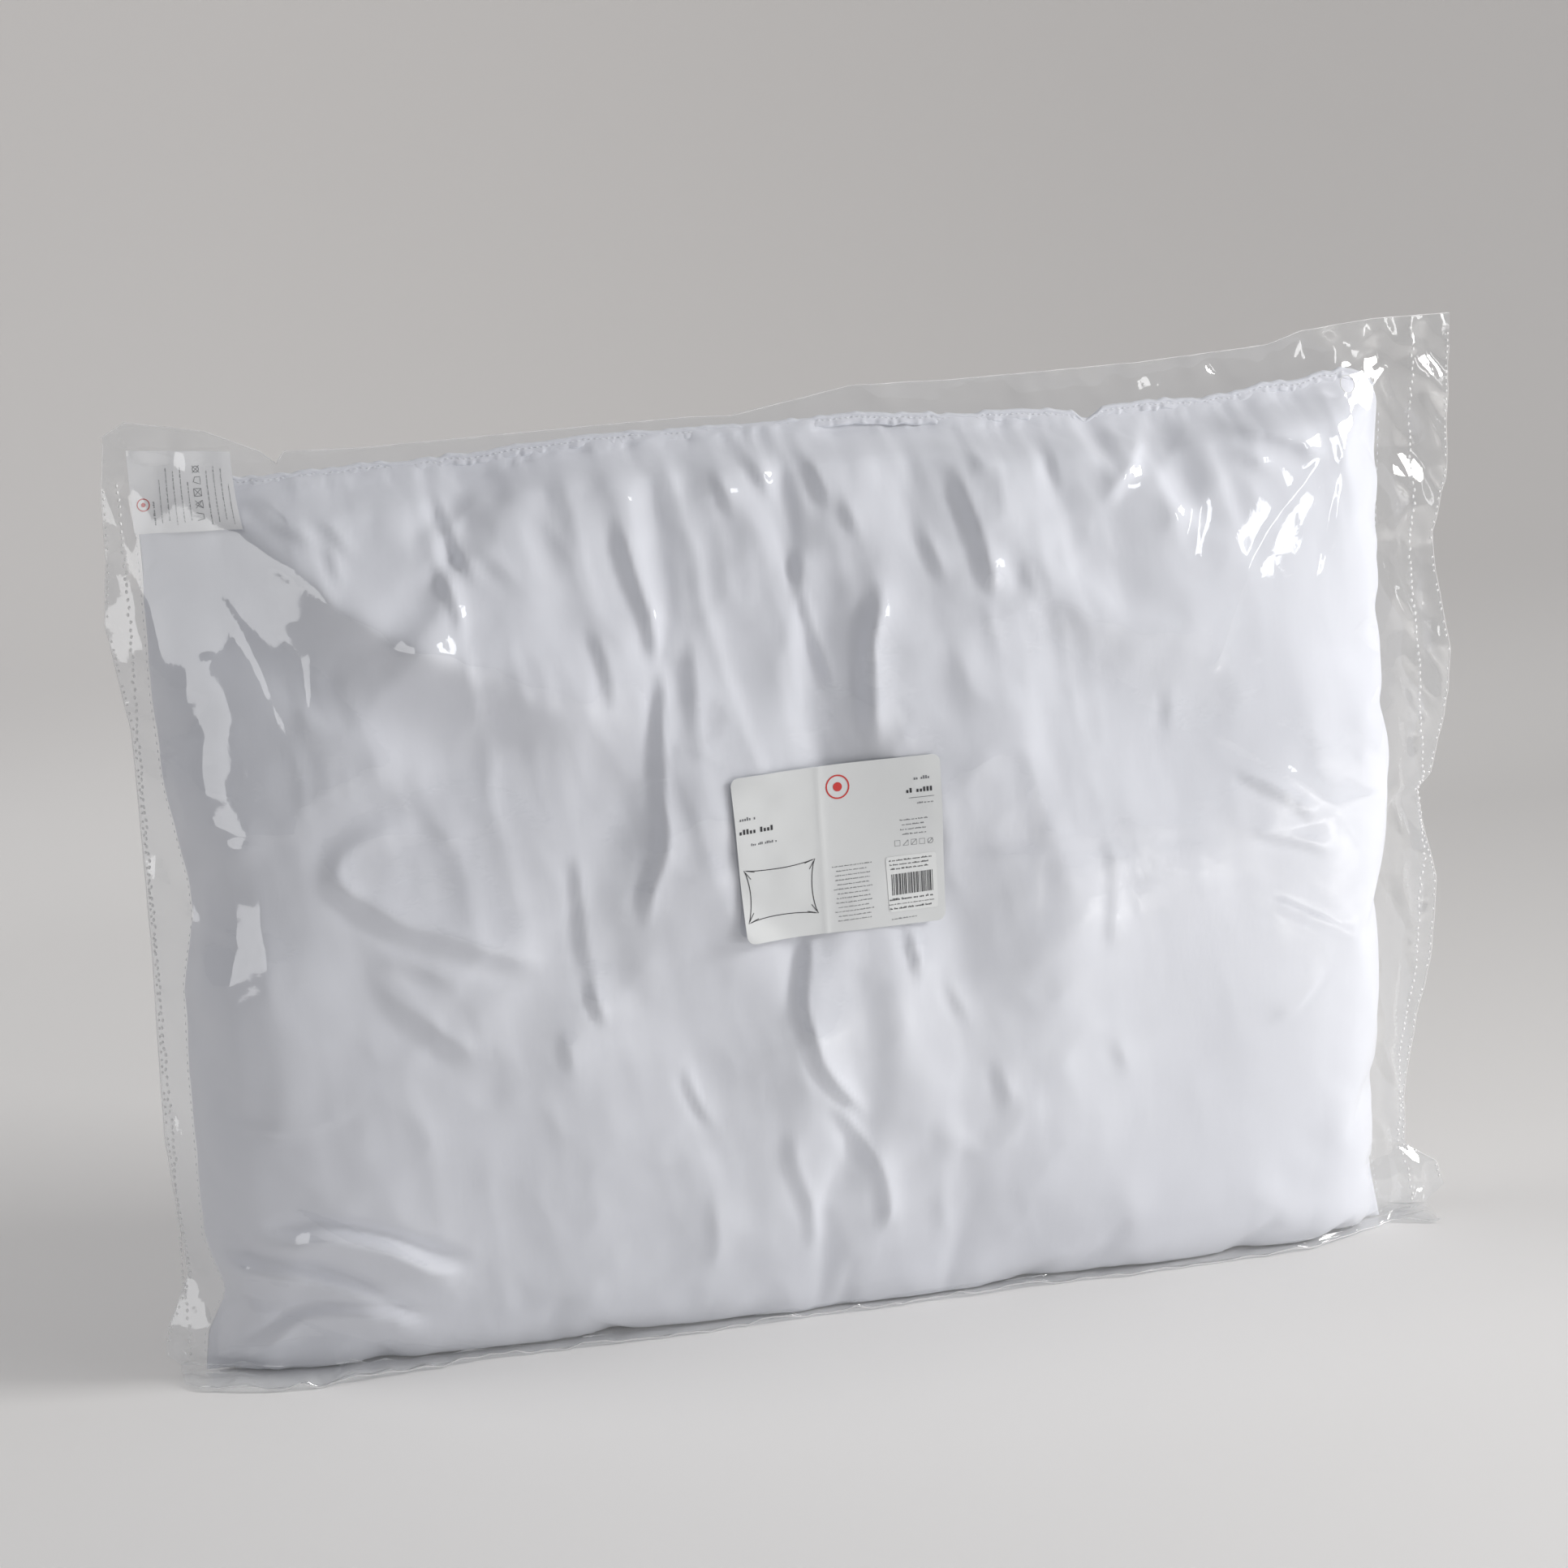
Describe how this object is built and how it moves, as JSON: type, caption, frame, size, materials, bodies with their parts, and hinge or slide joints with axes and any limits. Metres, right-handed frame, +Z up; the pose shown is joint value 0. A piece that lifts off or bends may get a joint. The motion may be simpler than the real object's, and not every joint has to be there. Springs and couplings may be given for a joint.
{
  "type": "bed pillow",
  "caption": "White rectangular bed pillow with sewn seams, standing on one long edge in a clear welded film bag with a printed label stuck on its front.",
  "frame": {"origin": "centre of the bagged pillow's box, on the surface that it stands on", "axes": "+X along the pillow's length, to the right as seen from the front; -Y to the labelled front; +Z up"},
  "size_m": [0.729, 0.1306, 0.505],
  "materials": {
    "fibre": "loose white polyester fibre",
    "casing_fabric": "white brushed microfibre, matte, softly wrinkled",
    "thread": "white polyester sewing thread",
    "care_ribbon": "white satin ribbon with grey printed bars and symbols",
    "bag_film": "clear thin polyethylene film, glossy, creased",
    "weld": "fused film, glossy and cloudy, with a dotted heat mark",
    "label_card": "thin coated card label, white and pale grey-green with grey printed bars",
    "sticker_paper": "white matte sticker with black bars"
  },
  "bodies": {
    "root": {"fibre_core": "fibre", "front_casing_panel": "casing_fabric", "back_casing_panel": "casing_fabric", "left_seam_thread": "thread", "right_seam_thread": "thread", "bottom_seam_thread": "thread", "closing_seam_needle_thread": "thread", "closing_seam_bobbin_thread": "thread", "care_label": "care_ribbon", "bag_front_wall": "bag_film", "bag_back_wall": "bag_film", "bag_left_weld": "weld", "bag_right_weld": "weld", "product_label": "label_card", "code_sticker": "sticker_paper"}
  },
  "joints": []
}
